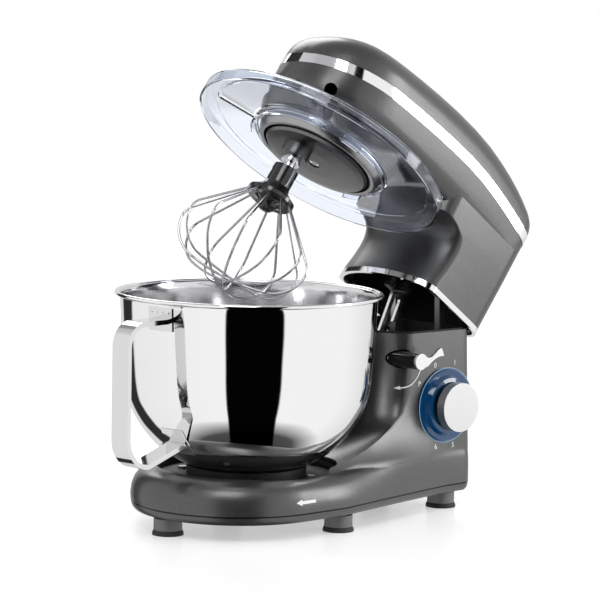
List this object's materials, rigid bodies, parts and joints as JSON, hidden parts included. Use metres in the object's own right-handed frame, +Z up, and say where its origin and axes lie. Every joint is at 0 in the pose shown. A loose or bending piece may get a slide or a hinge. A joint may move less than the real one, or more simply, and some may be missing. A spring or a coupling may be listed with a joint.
{
  "type": "stand mixer",
  "caption": "Tilt-head stand mixer with a steel bowl and side handle, clear splash guard, wire whisk on a planetary drive, speed dial and head lock lever.",
  "frame": {"origin": "centre of the object's bounding box at rest, on the plane its feet stand on", "axes": "+X from the bowl end to the hinge end, +Z up, -Y the side with the speed dial and lock lever"},
  "size_m": [0.446, 0.2286, 0.4126],
  "materials": {
    "base_shell": "dark metallic grey satin paint",
    "base_plate": "dark metallic grey satin paint",
    "foot_stems": "moulded grey plastic",
    "suction_feet": "black rubber",
    "base_screws": "zinc plated",
    "bowl_seat": "moulded black plastic",
    "column_liner": "moulded black plastic",
    "hinge_brackets": "pressed steel",
    "hinge_pin": "ground steel",
    "guide_pin": "ground steel",
    "lever_spring": "spring wire",
    "knob_bezel": "clear blue plastic",
    "speed_switch": "moulded black plastic",
    "control_board": "circuit board",
    "cord_gland": "black rubber",
    "lever_barrel": "glossy black plastic",
    "lever_cap": "satin silver",
    "latch_hook": "blackened steel",
    "knob_body": "glossy black plastic",
    "knob_cap": "satin silver",
    "bowl_shell": "polished stainless steel",
    "bowl_foot": "stainless steel",
    "bowl_handle": "polished stainless steel",
    "handle_plates": "polished stainless steel",
    "head_lower_shell": "dark metallic grey satin paint",
    "head_upper_shell": "dark metallic grey satin paint",
    "head_band": "polished silver strip",
    "neck_trim": "polished silver strip",
    "neck_liner": "moulded black plastic",
    "hinge_arms": "pressed steel",
    "striker_bar": "blackened steel",
    "stay_pivot": "ground steel",
    "planet_collar": "brushed steel",
    "gear_housing": "die cast",
    "ring_gear": "moulded nylon",
    "motor_stator": "stacked steel sheet",
    "motor_coils": "enamelled copper",
    "motor_frame": "die cast",
    "motor_brushes": "moulded holder with carbon brush",
    "drive_belt": "black rubber",
    "shell_screws": "zinc plated",
    "splash_guard": "clear plastic",
    "stay_arm": "plated steel",
    "feed_lid": "clear plastic",
    "planet_carrier": "dark grey satin casting",
    "main_shaft": "ground steel",
    "main_gear": "moulded nylon",
    "carrier_screw": "plated steel",
    "beater_shaft": "plated steel",
    "cross_pin": "plated steel",
    "planet_pinion": "sintered steel",
    "whisk_hub": "glossy black plastic",
    "whisk_wires": "polished stainless wire",
    "lay_shaft": "ground steel",
    "large_pulley": "moulded nylon",
    "rotor_core": "stacked steel sheet with windings",
    "rotor_shaft": "ground steel",
    "motor_pulley": "sintered steel",
    "cooling_fan": "moulded black plastic"
  },
  "bodies": {
    "base": {"base_shell": "base_shell", "base_plate": "base_plate", "foot_stems": "foot_stems", "suction_feet": "suction_feet", "base_screws": "base_screws", "bowl_seat": "bowl_seat", "column_liner": "column_liner", "hinge_brackets": "hinge_brackets", "hinge_pin": "hinge_pin", "guide_pin": "guide_pin", "lever_spring": "lever_spring", "knob_bezel": "knob_bezel", "speed_switch": "speed_switch", "control_board": "control_board", "cord_gland": "cord_gland"},
    "lever": {"lever_barrel": "lever_barrel", "lever_cap": "lever_cap", "latch_hook": "latch_hook"},
    "knob": {"knob_body": "knob_body", "knob_cap": "knob_cap"},
    "bowl": {"bowl_shell": "bowl_shell", "bowl_foot": "bowl_foot", "bowl_handle": "bowl_handle", "handle_plates": "handle_plates"},
    "head": {"head_lower_shell": "head_lower_shell", "head_upper_shell": "head_upper_shell", "head_band": "head_band", "neck_trim": "neck_trim", "neck_liner": "neck_liner", "hinge_arms": "hinge_arms", "striker_bar": "striker_bar", "stay_pivot": "stay_pivot", "planet_collar": "planet_collar", "gear_housing": "gear_housing", "ring_gear": "ring_gear", "motor_stator": "motor_stator", "motor_coils": "motor_coils", "motor_frame": "motor_frame", "motor_brushes": "motor_brushes", "drive_belt": "drive_belt", "shell_screws": "shell_screws", "splash_guard": "splash_guard"},
    "stay": {"stay_arm": "stay_arm"},
    "feed_cover": {"feed_lid": "feed_lid"},
    "carrier": {"planet_carrier": "planet_carrier", "main_shaft": "main_shaft", "main_gear": "main_gear", "carrier_screw": "carrier_screw"},
    "beater": {"beater_shaft": "beater_shaft", "cross_pin": "cross_pin", "planet_pinion": "planet_pinion", "whisk_hub": "whisk_hub", "whisk_wires": "whisk_wires"},
    "layshaft": {"lay_shaft": "lay_shaft", "large_pulley": "large_pulley"},
    "rotor": {"rotor_core": "rotor_core", "rotor_shaft": "rotor_shaft", "motor_pulley": "motor_pulley", "cooling_fan": "cooling_fan"}
  },
  "joints": [
    {"name": "head_tilt", "type": "hinge", "parent": "base", "child": "head", "pos_m": [0.13185, 0, 0.1425], "axis": [0, 1, 0], "range_deg": [-36.4, 0]},
    {"name": "stay_swing", "type": "hinge", "parent": "head", "child": "stay", "pos_m": [0.10984, 0, 0.19302], "axis": [0, 1, 0], "range_deg": [0, 22.4]},
    {"name": "lock_lever", "type": "hinge", "parent": "base", "child": "lever", "pos_m": [0.06185, 0, 0.137], "axis": [0, 1, 0], "range_deg": [0, 55], "stiffness_Nm_per_rad": 0.05, "springref_deg": -5.73},
    {"name": "bowl_twist", "type": "hinge", "parent": "base", "child": "bowl", "pos_m": [-0.06815, 0, 0], "axis": [0, 0, 1], "range_deg": [-25, 0]},
    {"name": "speed_knob", "type": "hinge", "parent": "base", "child": "knob", "pos_m": [0.11035, 0, 0.0936], "axis": [0, 1, 0], "range_deg": [-37, 220]},
    {"name": "carrier_spin", "type": "hinge", "parent": "head", "child": "carrier", "pos_m": [0.00499, 0, 0.30746], "axis": [0.5934, 0, 0.8049], "continuous": true},
    {"name": "beater_spin", "type": "hinge", "parent": "carrier", "child": "beater", "pos_m": [-0.01352, 0, 0.32111], "axis": [0.5934, 0, 0.8049], "continuous": true},
    {"name": "lay_spin", "type": "hinge", "parent": "head", "child": "layshaft", "pos_m": [0.06575, 0, 0.31236], "axis": [0.5934, 0, 0.8049], "continuous": true},
    {"name": "rotor_spin", "type": "hinge", "parent": "head", "child": "rotor", "pos_m": [0.14997, 0, 0.23785], "axis": [0.5934, 0, 0.8049], "continuous": true},
    {"name": "feed_lid_turn", "type": "hinge", "parent": "head", "child": "feed_cover", "pos_m": [0.01211, 0, 0.31712], "axis": [0.5934, 0, 0.8049], "range_deg": [0, 85]}
  ],
  "couplings": [
    {"joint": "stay_swing", "follows": "head_tilt", "ratio": -0.611},
    {"joint": "beater_spin", "follows": "carrier_spin", "ratio": -2.7692},
    {"joint": "lay_spin", "follows": "carrier_spin", "ratio": -3.6},
    {"joint": "rotor_spin", "follows": "carrier_spin", "ratio": -14.4}
  ]
}
